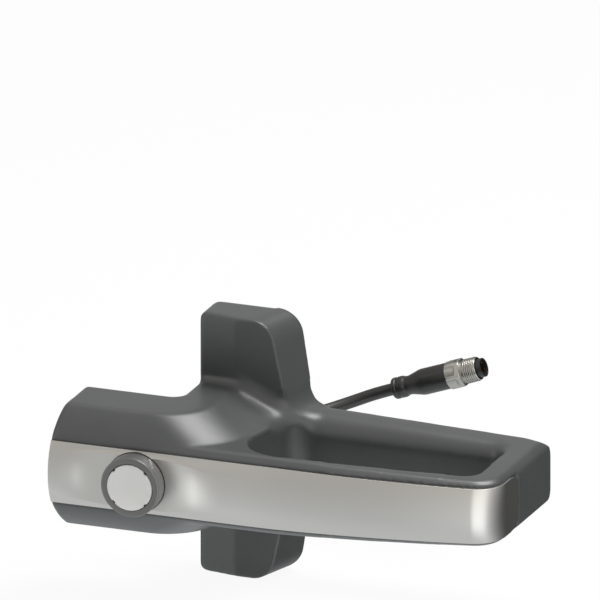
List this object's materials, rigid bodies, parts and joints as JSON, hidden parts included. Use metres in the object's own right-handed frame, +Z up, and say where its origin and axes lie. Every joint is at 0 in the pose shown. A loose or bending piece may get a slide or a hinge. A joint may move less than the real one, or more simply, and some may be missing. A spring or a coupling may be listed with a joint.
{
  "type": "guard door grip handle with push button",
  "caption": "Machine guard door handle: closed grip loop, tall mounting flange, metal trim strip, raised round push button and a short cable with a round screw plug.",
  "frame": {"origin": "centre of the rear mounting face, midway between the four fixing inserts", "axes": "+X from the button towards the end of the grip, +Y back into the door, +Z up the mounting flange"},
  "size_m": [0.2231, 0.1634, 0.1306],
  "materials": {
    "housing_plastic": "fine satin moulded polyamide",
    "strip_metal": "satin, brushed along its length",
    "black_plastic": "matt",
    "steel": "plain",
    "collar_plastic": "satin",
    "seal_rubber": "matt",
    "contact_brass": "plated",
    "board_laminate": "lacquered",
    "cable_jacket": "smooth jacket",
    "gland_rubber": "matt",
    "insert_brass": "knurled",
    "plug_plastic": "moulded",
    "insulator_plastic": "matt",
    "white_plastic": "matt",
    "lens_plastic": "satin, translucent",
    "nickel": "nickel plated"
  },
  "bodies": {
    "handle": {"handle_housing": "housing_plastic", "trim_strip": "strip_metal", "button_carrier": "black_plastic", "carrier_screws": "steel", "button_collar": "collar_plastic", "collar_gasket": "seal_rubber", "button_body": "black_plastic", "contact_block": "black_plastic", "fixed_contacts": "contact_brass", "circuit_board": "board_laminate", "board_terminals": "black_plastic", "inner_lead": "cable_jacket", "cable_gland": "gland_rubber", "mounting_inserts": "insert_brass", "cable": "cable_jacket", "plug_body": "plug_plastic", "contact_carrier": "insulator_plastic", "contact_pins": "contact_brass", "return_spring": "steel"},
    "push_button": {"button_cap": "white_plastic", "button_lens": "lens_plastic", "plunger": "black_plastic", "contact_bridge": "contact_brass"},
    "coupling_nut": {"coupling_nut": "nickel"}
  },
  "joints": [
    {"name": "button_press", "type": "slide", "parent": "handle", "child": "push_button", "axis": [0, 1, 0], "range_m": [0, 0.0025], "stiffness_N_per_m": 800, "springref_m": -0.003, "deforming": ["return_spring"]},
    {"name": "nut_turn", "type": "hinge", "parent": "handle", "child": "coupling_nut", "pos_m": [0.0457, 0.0603, 0.0092], "axis": [0.941, 0.0106, 0.3383], "continuous": true}
  ]
}
